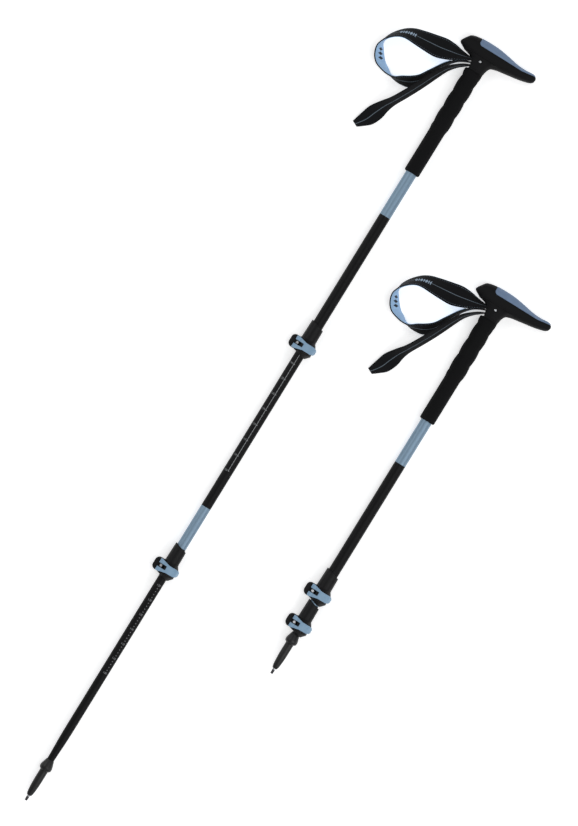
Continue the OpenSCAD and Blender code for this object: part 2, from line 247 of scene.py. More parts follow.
class Wire:
    # A node's output. Arithmetic on it adds Math nodes, and a plain number may stand on either side.
    def __init__(self, finish, socket):
        self.finish = finish
        self.socket = socket

    def math(self, operation, *values):
        return self.finish.add("Math", {"operation": operation}, dict(enumerate(values)))

    def __add__(self, other):
        return self.math("ADD", self, other)

    def __sub__(self, other):
        return self.math("SUBTRACT", self, other)

    def __rsub__(self, other):
        return self.math("SUBTRACT", other, self)

    def __mul__(self, other):
        return self.math("MULTIPLY", self, other)

    def __truediv__(self, other):
        return self.math("DIVIDE", self, other)

    def __gt__(self, other):
        return self.math("GREATER_THAN", self, other)

    def __abs__(self):
        return self.math("ABSOLUTE", self)

    __radd__, __rmul__ = __add__, __mul__

    def wave(self, length):  # from 0 to 1 and back once in each length
        return self.math("SINE", self * (2 * pi / length)) * 0.5 + 0.5

    def step(self, length):  # place within each length, from 0 to 1
        return self.math("FRACT", self / length)

    def ease(self, low, high):  # 0 below low, 1 above high
        return self.finish.add("MapRange", {"interpolation_type": "SMOOTHSTEP"},
                               {"Value": self, "From Min": low, "From Max": high})

    def within(self, low, high, edge=0.1):  # 1 between low and high
        return self.ease(low - edge, low + edge) * (1 - self.ease(high - edge, high + edge))


class Finish:
    def __init__(self, name):
        self.material = bpy.data.materials.new(name)
        self.material.use_nodes = True
        self.tree = self.material.node_tree
        self.tree.nodes.clear()
        self.here = self.add("TexCoord", out="Object")

    def add(self, kind, settings={}, values={}, out=0):
        # Any node: its settings first, then the values or links of its sockets
        node = self.tree.nodes.new("ShaderNode" + kind)
        for name, value in settings.items():
            setattr(node, name, value)
        for name, value in values.items():
            if isinstance(value, Wire):
                self.tree.links.new(value.socket, node.inputs[name])
            else:
                node.inputs[name].default_value = value
        return Wire(self, node.outputs[out]) if len(node.outputs) else None

    def noise(self, size, detail=3.0, stretch=(1, 1, 1)):  # size in millimetres
        spot = self.add("Mapping", {}, {"Vector": self.here, "Scale": stretch})
        return self.add("TexNoise", {}, {"Vector": spot, "Scale": 1 / (size * mm), "Detail": detail,
                                         "Roughness": 0.6})

    def cells(self, size, feature="F1"):
        return self.add("TexVoronoi", {"feature": feature}, {"Vector": self.here, "Scale": 1 / (size * mm)})

    def worn(self, low=0.53, high=0.62):  # 1 on outward edges
        return self.add("NewGeometry", out="Pointiness").ease(low, high)

    def lengths(self):  # the UV map's two running lengths, in millimetres
        place = self.add("UVMap", {"uv_map": "UVMap"})
        split = self.add("SeparateXYZ", {}, {"Vector": place})
        return split, Wire(self, split.socket.node.outputs["Y"])

    def mix(self, share, a, b):  # share 0 gives a, 1 gives b
        colour = lambda c: c if isinstance(c, Wire) else (*c, 1)
        return self.add("Mix", {"data_type": "RGBA"}, {0: share, 6: colour(a), 7: colour(b)}, 2)

    def done(self, colour, roughness, height=None, depth=0.05, **fixed):
        # The shader. height raises the surface by up to depth millimetres.
        values = {"Base Color": colour, "Roughness": roughness}
        if height is not None:
            values["Normal"] = self.add("Bump", {}, {"Height": height, "Strength": 1.0,
                                                     "Distance": depth * mm})
        values.update({name.replace("_", " "): value for name, value in fixed.items()})
        shader = self.add("BsdfPrincipled", {}, values)
        self.add("OutputMaterial", {}, {"Surface": shader})
        return self.material


def mouldedRubber(name, dark, light, rough, grain):
    f = Finish(name)
    broad, fine, pebble = f.noise(16), f.noise(grain * 0.4, 2), f.cells(grain)
    worn = f.worn()
    colour = f.mix(broad, dark, light)
    colour = f.mix(worn * 0.35, colour, [c * 2.2 + 0.01 for c in light])
    return f.done(colour, rough + broad * 0.14 - worn * 0.12 + fine * 0.06, pebble * 0.7 + fine * 0.5, 0.06,
                  Specular_IOR_Level=0.15)


def foamSkin(name):
    f = Finish(name)
    broad, pores, fine = f.noise(22), f.cells(0.85), f.noise(0.3, 4)
    pit = 1 - pores.ease(0.12, 0.42)
    colour = f.mix(broad, (0.003, 0.0031, 0.0034), (0.0066, 0.0067, 0.0072))
    colour = f.mix(fine.ease(0.5, 0.8) * 0.5, colour, (0.013, 0.0134, 0.0145))
    return f.done(colour, 0.8 + broad * 0.12, fine * 0.6 - pit * 0.7, 0.13, Specular_IOR_Level=0.15)


def weave(f, along, across, warp, weft):
    # Plain weave: threads of one direction rise where those of the other dive
    over = along.wave(weft) - across.wave(warp)
    return abs(over) * 0.6 + along.wave(weft * 0.5) * across.wave(warp * 0.5) * 0.4


def webbingCloth(name, dark, light, thread, ink, printed=None):
    # Woven webbing with a contrasting thread down its middle and, where printed, a row of diamonds
    f = Finish(name)
    along, across = f.lengths()
    threads = weave(f, along, across, 1.5, 1.1)
    fuzz, broad = f.noise(0.25, 4), f.noise(19)
    colour = f.mix(threads * (0.6 + fuzz * 0.5), dark, light)
    colour = f.mix(broad * 0.3, colour, light)
    seam = abs(across).ease(0.75, 0.35) * (0.55 + 0.45 * along.wave(3.2))
    colour = f.mix(seam, colour, thread)
    if printed:
        row = abs(along.step(7.5) - 0.5) * 7.5
        diamond = (row / 2.5 + abs(across) / 4.4).ease(1.05, 0.9)
        dash = row.ease(2.9, 3.1) * abs(across).ease(3.6, 3.2)
        colour = f.mix((diamond + dash) * along.within(*printed) * (0.75 + threads * 0.25), colour, ink)
    return f.done(colour, 0.78 + fuzz * 0.15, threads + fuzz * 0.25 + seam * 0.4, 0.12,
                  Specular_IOR_Level=0.15, Sheen_Weight=0.05, Sheen_Roughness=0.5)


def knitCloth(name, deep, light, ink, printFrom, printTo):
    # Soft mesh lining: staggered holes in a light knit, with a few dark diamonds
    f = Finish(name)
    along, across = f.lengths()
    shifted = across + (along.step(2.6) > 0.5) * 0.8
    hole = along.wave(1.3) * shifted.wave(1.6)
    fuzz, broad = f.noise(0.22, 4), f.noise(17)
    colour = f.mix(hole.ease(0.45, 0.95) * 0.75, light, deep)
    colour = f.mix(broad.ease(0.35, 0.75) * 0.3, colour, deep)
    row = abs((along - 3.5).step(7) - 0.5) * 7
    mark = (row / 2.9 + abs(across) / 6.5).ease(1.06, 0.94) * along.within(printFrom, printTo)
    colour = f.mix(mark, colour, ink)
    return f.done(colour, 0.82 + fuzz * 0.12, fuzz * 0.35 - hole * 0.9, 0.16, Specular_IOR_Level=0.25,
                  Sheen_Weight=0.2, Sheen_Roughness=0.5)


def tubePaint(name, black, band, span):
    # Satin paint with fine lengthwise drawing lines, rubbed a little where sections slide
    f = Finish(name)
    up = f.lengths()[1]
    lines = f.noise(0.5, 3, (1, 0.012, 1))
    scuff = f.noise(0.35, 2, (1, 0.02, 1)).ease(0.66, 0.78) * f.noise(40, 2).ease(0.45, 0.65)
    broad, peel = f.noise(30), f.noise(1.1, 2)
    colour = f.mix(broad, black, [c * 1.7 for c in black])
    metal = 0.0
    if span:
        inBand = up.within(*span, 0.12)
        tint = f.mix(lines.ease(0.3, 0.7), band, [c * 1.25 for c in band])
        colour = f.mix(inBand, colour, tint)
        metal = inBand * 0.55
    colour = f.mix(scuff * 0.35, colour, (0.16, 0.165, 0.17))
    return f.done(colour, 0.4 + broad * 0.1 + lines * 0.08 + scuff * 0.12, lines * 0.5 + peel * 0.5, 0.006,
                  Metallic=metal, Specular_IOR_Level=0.14)


def mouldedPlastic(name, dark, light, rough, grain, edge, shine=0.2):
    f = Finish(name)
    broad, fine = f.noise(9), f.noise(grain, 3)
    worn = f.worn()
    colour = f.mix(broad, dark, light)
    colour = f.mix(worn * 0.5 * fine.ease(0.3, 0.7), colour, edge)
    return f.done(colour, rough + broad * 0.08 + fine * 0.08 - worn * 0.08, fine, 0.02,
                  Specular_IOR_Level=shine)


def turnedMetal(name, colour, rough, axisLines):
    # Metal with tool marks: noise squeezed along the axis it was turned about
    f = Finish(name)
    marks, broad = f.noise(0.6, 4, axisLines), f.noise(4)
    tint = f.mix(marks * 0.5 + broad * 0.3, [c * 0.75 for c in colour], [min(1, c * 1.12) for c in colour])
    return f.done(tint, rough + marks * 0.16, marks, 0.008, Metallic=1.0)


def flatInk(name, colour):
    f = Finish(name)
    speck = f.noise(0.25, 4)
    tint = f.mix(speck.ease(0.35, 0.75), colour, [c * 0.72 for c in colour])
    return f.done(tint, 0.5 + speck * 0.2, speck, 0.004)


def twistedThread(name, colour):
    # Thread: slanting strands, from the UV map's two lengths
    f = Finish(name)
    along, across = f.lengths()
    strands = (along + across * 0.6).wave(0.5)
    fuzz = f.noise(0.12, 3)
    tint = f.mix(strands * 0.7 + fuzz * 0.3, [c * 0.55 for c in colour], colour)
    return f.done(tint, 0.7 + fuzz * 0.15, strands, 0.04)


tints = {
    "headDark": (0.0032, 0.0032, 0.0036), "headLight": (0.006, 0.0061, 0.0066),
    "padDark": (0.15, 0.215, 0.33), "padLight": (0.2, 0.28, 0.42),
    "webbingDark": (0.0024, 0.0026, 0.0032), "webbingLight": (0.009, 0.0098, 0.0116),
    "thread": (0.16, 0.2, 0.235), "ink": (0.4, 0.52, 0.66),
    "liningDeep": (0.22, 0.38, 0.6), "liningLight": (0.4, 0.6, 0.84), "liningInk": (0.012, 0.018, 0.03),
    "tube": (0.0028, 0.0028, 0.0032), "band": (0.2, 0.285, 0.37),
    "plasticDark": (0.003, 0.003, 0.0034), "plasticLight": (0.0056, 0.0057, 0.0063),
    "leverDark": (0.19, 0.32, 0.46), "leverLight": (0.3, 0.45, 0.6),
    "plasticEdge": (0.045, 0.046, 0.05), "leverEdge": (0.33, 0.45, 0.58), "stitch": (0.16, 0.21, 0.27),
    "steel": (0.56, 0.57, 0.59), "blackSteel": (0.035, 0.036, 0.04), "carbide": (0.075, 0.075, 0.08),
    # The marks grey colours the printed scale and also the line along the middle tube's top, which is partly
    # a painted highlight.
    "acetal": (0.09, 0.093, 0.1), "marks": (0.3, 0.31, 0.32),
}

# Handle, pad and grip

handle = {  # outlines as x and y from the neck, half widths as x and z
    "top": [(-42.2, 31.6), (-41.2, 34), (-37, 40.6), (-30.6, 47.4), (-14, 50.8), (12, 51), (32, 48.4),
            (51, 44.9), (66, 44), (79, 45), (85, 43), (87.2, 39)],
    "low": [(-42.2, 31.6), (-41.2, 29.4), (-37.2, 26.8), (-27, 21.8), (-14, 18.2), (4, 17), (20, 18),
            (30, 20.6), (49, 23.6), (66, 26.4), (80, 30), (85.6, 33.6), (87.2, 39)],
    "halfWidth": [(-42.2, 6), (-40.6, 10.6), (-35.4, 14.4), (-24, 15.9), (-8, 16), (20, 16), (44, 15.4),
                  (64, 14), (78, 12), (85, 9), (87.2, 5)],
    "squareness": 2.45,
    "neckRadius": 14.6, "neckFlare": 13.0, "neckTop": 30, "flareTop": 24.5,
    "padStart": -14.8, "padEnd": 84.4, "padLow": 39.2, "padRise": 0.164, "padBend": 62.0, "padCorner": 5.8,
    "slot": ((-40, 0.6, -11), (7, 23, 11)), "upperSlot": ((-11.5, 20, -10.8), (5.8, 28.1, 10.8)),
    "tubeSocket": 9.0,
    "voxel": 0.55, "relax": 32,
}
pin = {"at": (0.5, 17.5), "radius": 2.0, "half": 15.9, "boreHalf": 17, "round": 0.9}


def handleSection(x):
    # Middle height, half height and half width of the head at x
    dense = {side: curve(handle[side], 24) for side in ("top", "low", "halfWidth")}
    at = {side: np.interp(x, line[:, 0], line[:, 1]) for side, line in dense.items()}
    return (at["top"] + at["low"]) / 2, (at["top"] - at["low"]) / 2, at["halfWidth"]


def headSurface(x, angle):
    # Superellipse sections: y = middle + height * sin(a)^(2/n), z = width * cos(a)^(2/n)
    middle, height, width = handleSection(x)
    n = 2 / handle["squareness"]
    return np.stack([x + 0 * angle, middle + height * power(np.sin(angle), n),
                     width * power(np.cos(angle), n)], -1)


def padEdge(x):
    # The pad's lower edge: level, rising towards the nose and rounded up at its back end
    e = handle
    back = np.clip((e["padStart"] + e["padCorner"] - x) / e["padCorner"], 0, 1)
    return e["padLow"] + e["padRise"] * np.maximum(x - e["padBend"], 0) + 5 * (1 - np.sqrt(1 - back**2))


def handleCore():
    spread = (1 - np.cos(np.linspace(0, pi, 150))) / 2  # rows close up towards both ends
    back, nose = handle["top"][0][0], handle["top"][-1][0]
    x = (back + (nose - back) * spread)[:, None]
    angle = (np.arange(96) * 2 * pi / 96)[None, :]
    head = grid(headSurface(x, angle), False, True)
    y, turn = np.linspace(0, handle["neckTop"], 60)[:, None], (np.arange(120) * 2 * pi / 120)[None, :]
    # Neck: a round socket whose foot flares into the head to the front and the back
    radius = (handle["neckRadius"] + 1.4 * smooth(y, 0, 15)
              + handle["neckFlare"] * np.abs(np.cos(turn))**3 * (y / 22)**5 * (y < handle["flareTop"]))
    radius = np.where(y > handle["flareTop"], 14.5 + 0 * turn, np.minimum(radius, 31))
    neck = np.stack([radius * np.cos(turn), y + 0 * turn, radius * np.sin(turn)], -1)
    ends = np.stack([neck[:1].mean((0, 1)), neck[-1:].mean((0, 1))])
    neck = np.concatenate([np.broadcast_to(ends[0], (1, 120, 3)), neck,
                           np.broadcast_to(ends[1], (1, 120, 3))])
    mesh = fused(meshOf(joined(head, grid(neck, False, True))), handle["voxel"], handle["relax"])

    def relief(p, n):
        x, y, z = p.T
        inPad = smooth(y, padEdge(x) - 0.5, padEdge(x) + 0.3) * smooth(x, handle["padStart"] - 0.4,
                                                                      handle["padStart"] + 0.4)
        groove = np.exp(-((y - 3.2) / 0.55)**2) * (np.hypot(x, z) > 13)
        boss = 1 - smooth(np.hypot(x - pin["at"][0], y - pin["at"][1]), 3.4, 4.4)
        parting = np.exp(-(z / 0.35)**2) * (y < 38)
        return -1.0 * inPad - 0.5 * groove - 0.45 * boss * (np.abs(n[:, 2]) > 0.7) + 0.12 * parting

    mesh = pushed(mesh, relief)
    slot = fused(meshOf(boxShape(*handle["slot"], 2.5)), 0.7, 2)
    upperSlot = meshOf(boxShape(*handle["upperSlot"], 1.5))
    bore = meshOf(turnedAbout(pin["at"], pin["radius"], -pin["boreHalf"], pin["boreHalf"]))
    r = handle["tubeSocket"]
    socket = meshOf(turned(rounded([(0, -2), (r, -2), (r, 0.5), (0, 0.5)], 0.01), 48))
    for tool in (slot, upperSlot, bore, socket):
        mesh = cut(mesh, tool)
    return mesh


def boxShape(low, high, soften):
    # A box with rounded edges: a superellipsoid-like block from a cube's six grids pushed outwards
    low, high = np.array(low, float), np.array(high, float)
    t = np.linspace(-1, 1, 9)
    a, b = np.meshgrid(t, t, indexing="ij")
    faces = []
    for axis in range(3):
        for side in (-1, 1):
            p = np.stack([np.full_like(a, side), a, b], -1)
            faces.append(np.roll(p, axis, -1))
    half = (high - low) / 2
    core = np.maximum(half - soften, 0)
    out = []
    for p in faces:
        inside = np.clip(p * half, -core, core)
        out.append(grid((low + high) / 2 + inside + unit(p * half - inside + 1e-9 * p) * soften))
    return joined(*out)


def turnedAbout(centre, radius, low, high, chamfer=0.3, turns=40):
    # A pin along z: an outline turned about a line through centre
    profile = rounded([(0, low), (radius, low), (radius, high), (0, high)], chamfer, 4)
    points, faces, uv = turned(profile, turns)
    return np.stack([points[:, 0] + centre[0], points[:, 2] + centre[1], points[:, 1]], -1), faces, uv


def padShell():
    # The pad lies on the head's own surface between its two edges, crowned at its rim
    rows = np.concatenate([np.linspace(0, 0.06, 26), np.linspace(0.064, 1, 150)])
    x = (handle["padStart"] + (handle["padEnd"] - handle["padStart"]) * rows)[:, None]
    middle, height, width = handleSection(x)
    share = np.clip((padEdge(x) - middle) / height, -1, 0.999)
    start = np.arcsin(power(share, handle["squareness"] / 2))
    angle = start + (pi - 2 * start) * np.linspace(0, 1, 90)[None, :]
    surface = headSurface(x, angle)
    outwards = normals(surface)
    outwards *= np.sign(outwards[:, 45:46, 1:2])
    steps = np.linalg.norm(np.diff(surface, axis=1), axis=-1)
    across = np.concatenate([np.zeros((len(rows), 1)), np.cumsum(steps, 1)], 1)
    rim = np.minimum(np.minimum(across, across[:, -1:] - across), x - handle["padStart"])
    crown = np.sqrt(1 - (1 - np.clip(rim / 1.5, 0, 1))**2)
    outer = surface + outwards * (-0.75 + 1.0 * crown)[..., None]
    inner = surface - outwards * 1.9
    return shell(outer, inner)


foam = {"low": -181, "radius": 12.5, "topRadius": 14.6, "ribsFrom": -99.0, "ribPitch": 27.6,
        "ribHeight": 1.35, "slant": 0.16, "bore": 9.0}


def foamSleeve():
    # Smooth below, then finger ribs: r = radius + height * |sin(pi s)|^0.75, slanted round the sleeve
    f = foam
    y = np.concatenate([np.linspace(f["low"], f["low"] + 5, 12), np.linspace(f["low"] + 6, -1.2, 280),
                        [-0.6, -0.25, 0]])[None, :]
    turn = (np.arange(112) * 2 * pi / 112)[:, None]
    ribs = ((y - f["ribsFrom"]) / f["ribPitch"] + f["slant"] * np.cos(turn))
    swell = np.abs(np.sin(pi * ribs))**0.75
    blend = smooth(y, f["ribsFrom"] - 9, f["ribsFrom"] + 3) * (1 - smooth(y, -13, -4))
    radius = f["radius"] + blend * (f["ribHeight"] * swell + 0.35)
    radius = radius + (f["topRadius"] - f["radius"]) * smooth(y, -12, -4)
    radius = radius - 1.6 * (1 - np.sqrt(1 - (1 - np.clip((y - f["low"]) / 3.2, 0, 1))**2))
    radius = radius - 0.9 * (1 - np.sqrt(1 - (1 - np.clip(-y / 1.2, 0, 1))**2))
    radius = np.concatenate([radius, np.full((112, 2), f["bore"])], 1)
    y = np.concatenate([y, [[0, f["low"]]]], 1)
    points = np.stack([radius * np.cos(turn), y + 0 * turn, radius * np.sin(turn)], -1)
    return grid(points, True, True)


print("handles and grips")
headRubber = mouldedRubber("handleRubber", tints["headDark"], tints["headLight"], 0.55, 0.75)
padRubber = mouldedRubber("padRubber", tints["padDark"], tints["padLight"], 0.5, 0.6)
foamMaterial = foamSkin("gripFoam")
place("handle_body", handleCore(), "neck", "upper", "handle_rubber", headRubber, ["handle"])
place("palm_inlay", meshOf(padShell()), "neck", "upper", "pad_rubber", padRubber, ["palm_pad"])
place("grip_sleeve", meshOf(foamSleeve()), "neck", "upper", "foam", foamMaterial, ["foam_grip"])

# Strap

# Upper edge x and y, lower edge x and y, width of the webbing, height of its middle, from the neck
loop = [(-5.5, 16.6, -5.5, 19.2, 18, 0), (-12, 12.2, -12, 18.4, 18.5, 0), (-20, 7.2, -22, 19.2, 21, -1),
        (-32, 0.8, -33, 21, 26, -3), (-45, -5.6, -45, 23.4, 32, -5), (-62, -11, -60, 24, 36, -7),
        (-80, -12, -78, 20.5, 35, -6), (-97, -12, -97, 16, 34, -4), (-112, -11.5, -111, 11.5, 33, -2),
        (-122, -13, -123, 4, 32, -1), (-131, -18, -134, -8, 31, 0), (-138.5, -25, -141, -21, 30, 0),
        (-144, -33, -141.5, -32, 29, 0), (-147, -43, -136, -40, 28, -1), (-143, -56, -128, -50, 27, -1),
        (-134.5, -65.5, -121, -57, 26, -2), (-122, -70, -113, -62, 25, -3), (-110, -71.5, -107, -67, 24, -3),
        (-99, -69, -99, -71, 24, -3), (-90, -61.5, -87, -72.5, 23, -4), (-79, -54, -73, -70, 23, -5),
        (-69, -45.5, -61, -59, 22, -6), (-61.5, -34, -52, -42, 21, -6), (-54.5, -23.5, -47.5, -28, 19, -5),
        (-47, -12.5, -43, -15, 17.5, -4), (-39, -3, -36.5, -5, 16, -4), (-29, 4.8, -28, 3.6, 14, -4),
        (-17.5, 10.4, -17.5, 9.4, 12, -4), (-6, 14.4, -6, 13.7, 12, -3)]
tail = [(-4.5, 10.2, -4.5, 9.6, 17, 0), (-11, 7.4, -10.5, 6.4, 17, 0), (-20, 3.2, -17.5, 0.8, 17, 1),
        (-29.5, -3.6, -25.5, -6.4, 18, 2), (-40, -13, -34, -17.5, 19, 4), (-49.5, -26.5, -40.5, -31, 20, 5),
        (-57.5, -41, -47, -46, 21, 5), (-66, -58, -55, -63.5, 22, 3), (-77, -79, -66, -85, 23, 0),
        (-88, -98, -76, -103.5, 24, -4), (-99, -112, -80.5, -117, 25, -6.5),
        (-108.5, -126, -83, -132, 27, -10), (-113.5, -141, -90, -147, 25, -11),
        (-117, -153, -102, -157.5, 17, -12), (-118.5, -158.5, -109, -163, 11, -12)]
strap = {"thick": 1.3, "gap": 0.15, "step": 1.6, "liningFrom": 3, "liningTo": 25, "liningInset": 1.2,
         "stitchPitch": 3.4, "stitchLength": 2.5, "stitchWidth": 0.62, "edgeSeam": 0.84,
         "print": (101, 126), "liningPrint": (136.5, 157.5)}


def band(rows, inset=0.0):
    # Points at equal steps along the middle of the webbing, with its direction, its way across
    # (from the upper to the lower edge), its face and its width
    rows = curve(rows, 16)
    top, low = rows[:, :2], rows[:, 2:4]
    plan = low - top
    rise = np.sqrt(np.maximum(rows[:, 4]**2 - (plan**2).sum(1), 0))
    kernel = np.hanning(15)[1:-1]
    padded = np.pad(rise, 6, "edge")
    rise = np.convolve(padded, kernel / kernel.sum(), "valid")
    middle = np.column_stack([(top + low) / 2, rows[:, 5]])
    across = np.column_stack([plan, -rise])
    run = along(middle)
    even = np.linspace(0, run[-1], int(run[-1] / strap["step"]))
    pick = lambda values: np.stack([np.interp(even, run, column) for column in values.T], -1)
    middle, across = pick(middle), pick(across)
    width = np.linalg.norm(across, axis=1) - 2 * inset
    across = unit(across)
    direction = unit(np.gradient(middle, axis=0))
    face = unit(np.cross(direction, across))
    return {"middle": middle, "across": across, "direction": direction, "face": face, "width": width,
            "run": even}


def ribbon(b, thick, shift, crown=0.0, channel=0.0, taper=1.2):
    # A flat closed section carried along a band: width * a across, and a face that falls to the
    # edges as (1 - |a|^10)^(1/2), with a stitched channel near each edge and rounded ends
    a = np.sin(np.linspace(-pi / 2, pi / 2, 34))
    body = np.sqrt(1 - np.abs(a)**10)
    dip = channel * np.exp(-((np.abs(a) - strap["edgeSeam"]) / 0.035)**2)
    front = thick * (0.5 + 0.5 * body) - dip + crown * (1 - a**2)
    back = thick * (0.5 - 0.5 * body) + 0 * a
    section = np.concatenate([np.stack([a, front], -1), np.stack([a, back], -1)[::-1][1:-1]])
    ends = np.minimum(b["run"], b["run"][-1] - b["run"])
    close = np.sqrt(1 - (1 - np.clip(ends / taper, 0, 1))**2)[:, None]
    across = section[None, :, 0] * b["width"][:, None] / 2
    height = shift + thick / 2 + (section[None, :, 1] - thick / 2) * close
    points = (b["middle"][:, None] + b["across"][:, None] * across[..., None]
              + b["face"][:, None] * height[..., None])
    surface = grid(points, False, True, b["run"], section[:, 0])
    uv = surface[2]
    i, j = np.meshgrid(np.arange(len(b["run"]) - 1), np.arange(len(section)), indexing="ij")
    corner = ((i, j), (i + 1, j), (i + 1, j + 1), (i, j + 1))
    uv[..., 1] = np.stack([across[p, q % len(section)] for p, q in corner], -1).reshape(-1, 4)
    return surface


def stitches(b, place, height, start=4.0, end=4.0):
    # Short rounded threads along a band, at a share of its half width
    s = strap
    u, v = np.linspace(0, pi, 6)[:, None], (np.arange(6) * pi / 3)[None, :]
    bead = grid(np.stack([s["stitchLength"] / 2 * np.cos(u) + 0 * v,
                          s["stitchWidth"] / 2 * np.sin(u) * np.cos(v),
                          s["stitchWidth"] / 3 * np.sin(u) * np.sin(v)], -1), False, True)
    spots = np.arange(start, b["run"][-1] - end, s["stitchPitch"])
    pick = lambda key: np.stack([np.interp(spots, b["run"], column) for column in b[key].T], -1)
    width = np.interp(spots, b["run"], b["width"])[:, None]
    axes = [unit(pick(key)) for key in ("direction", "across", "face")]
    centre = pick("middle") + axes[1] * width * place / 2 + axes[2] * height
    return repeated(bead, np.stack([*axes, centre], 1))


def flatSize(b):  # the rectangle that the band was cut from, and the area it was cut to
    area = (np.diff(b["run"]) * (b["width"][1:] + b["width"][:-1]) / 2).sum()
    return (b["width"].max() * mm, b["run"][-1] * mm), area * mm * mm


wrap = {"start": 2.75, "pitch": 1.2, "turns": 1.6, "width": 17.0, "thick": 1.1}


def pinWrap():
    # The webbing's turns round the pin: a spiral whose radius grows by one pitch a turn, ending
    # on the strap's side
    turn = np.linspace(0, wrap["turns"] * 2 * pi, 70)
    radius = wrap["start"] + wrap["pitch"] * turn / (2 * pi)
    angle = pi + turn - turn[-1]
    middle = np.stack([pin["at"][0] + radius * np.cos(angle), pin["at"][1] + radius * np.sin(angle),
                       0 * turn], -1)
    direction = unit(np.gradient(middle, axis=0))
    across = np.tile([0.0, 0.0, -1.0], (len(turn), 1))
    return {"middle": middle, "across": across, "direction": direction,
            "face": unit(np.cross(direction, across)), "width": np.full(len(turn), wrap["width"]),
            "run": along(middle)}


print("straps")
cloth = [tints[key] for key in ("webbingDark", "webbingLight", "thread", "ink")]
webbing = webbingCloth("strapWebbing", *cloth, strap["print"])
tailWebbing = webbingCloth("tailWebbing", *cloth)
lining = knitCloth("strapLining", tints["liningDeep"], tints["liningLight"], tints["liningInk"],
                   *strap["liningPrint"])
threadFinish = twistedThread("strapThread", tints["stitch"])
loopBand, tailBand = band(loop), band(tail)
liningBand = band(loop[strap["liningFrom"]:strap["liningTo"] + 1], strap["liningInset"])
wrapBand = pinWrap()
wrapPieces = place("strap_wrap", meshOf(ribbon(wrapBand, wrap["thick"], -wrap["thick"] / 2)), "neck",
                   "strap", "webbing", tailWebbing, ["strap_eye"])
loopPieces = place("strap_webbing", meshOf(ribbon(loopBand, -strap["thick"], -strap["gap"], -0.4, -0.25)),
                   "neck", "strap", "webbing", webbing, ["wrist_strap"])
liningPieces = place("strap_padding", meshOf(ribbon(liningBand, strap["thick"], strap["gap"], 0.4, 0.25)),
                     "neck", "strap", "lining", lining, ["strap_lining"])
tailPieces = place("strap_end", meshOf(ribbon(tailBand, strap["thick"], 0, 0.3, 0.2)), "neck", "strap",
                   "webbing", tailWebbing, ["strap_tail"])
outside = -strap["gap"] - strap["thick"]
seams = joined(stitches(loopBand, 0.0, outside - 0.42, 22, 30),
               stitches(loopBand, strap["edgeSeam"], outside + 0.1, 14, 14),
               stitches(loopBand, -strap["edgeSeam"], outside + 0.1, 14, 14),
               stitches(tailBand, 0.0, strap["thick"] + 0.32, 8, 8))
seamPieces = place("strap_stitching", meshOf(seams), "neck", "strap", "webbing", threadFinish)
for pole in poles:
    sheets = ((loopPieces, loopBand, "hung", "strap_pin"),
              (liningPieces, liningBand, "hung", "strap_webbing"),
              (tailPieces, tailBand, "hung", "strap_pin"),
              (wrapPieces, wrapBand, "folded", "strap_pin"))
    for pieces, cutFrom, held, under in sheets:
        size, area = flatSize(cutFrom)

# Tubes, with their bands and printed scales

tubes = {
    "upper": {"at": "upper", "radius": 9.0, "band": (234, 312)},
    "middle": {"at": "middle", "radius": 8.0, "band": (38, 111),
               "scale": {"first": 176, "majors": 8, "pitch": 5.46, "from": -0.7, "numberEnd": -1.4}},
    "lower": {"at": "tip", "radius": 7.0,
              "scale": {"first": 229, "majors": 7, "pitch": 5.22, "from": 1.4, "numberEnd": 4.6}},
}
taper = {"neckRadius": 5.5, "from": 55.5, "start": 72.5, "end": 114.5}  # lower tube, above the ferrule
tubeWall = 0.8
# The tick table's line width and its length above the ticks belong to a grey line along the tube's top:
# partly a printed scale line, partly a painted highlight streak.
tick = {"perMajor": 5, "width": 0.8, "length": 1.5, "majorLength": 2.4, "thick": 0.03,
        "firstNumber": 105, "digitHeight": 3.2, "inkAndHighlightLine": 0.75, "inkAndHighlightLineAbove": 160}


def tubeShape(kind):
    t = tubes[kind]
    inner, outer = t["radius"] - tubeWall, t["radius"]
    top = boxOf(f"long_{kind}_tube")[1][1] - where["long"][t["at"]][1]
    if kind == "lower":  # drawn down towards the ferrule
        narrow = taper["neckRadius"]
        corners = [(narrow - tubeWall, taper["from"]), (narrow, taper["from"]), (narrow, taper["start"]),
                   (outer, taper["end"]), (outer, top), (inner, top), (inner, taper["end"]),
                   (narrow - tubeWall, taper["start"])]
        radii = [0.2, 0.2, 14, 14, 0.2, 0.2, 14, 14]
    else:
        corners = [(inner, 1), (outer, 1), (outer, top), (inner, top)]
        radii = 0.2
    return meshOf(turned(rounded(corners, radii, 7), 96, 12.0))


def wrapped(points, radius, lift):
    # Flat print rolled onto the tube: x is distance round it from the top line, y along, z above it
    angle = pi / 2 - points[:, 0] / radius
    r = radius + lift + points[:, 2]
    return np.stack([r * np.cos(angle), points[:, 1], r * np.sin(angle)], -1)


def digits(text, height, thick):
    # Generic numerals as flat solids
    font = bpy.data.curves.new("digits", "FONT")
    font.body, font.size, font.extrude, font.resolution_u = text, height * 1.35, thick / 2, 2
    font.align_x, font.align_y = "RIGHT", "CENTER"
    holder = bpy.data.objects.new("digits", font)
    bpy.context.scene.collection.objects.link(holder)
    mesh = bpy.data.meshes.new_from_object(holder.evaluated_get(bpy.context.evaluated_depsgraph_get()))
    bpy.data.objects.remove(holder)
    return mesh


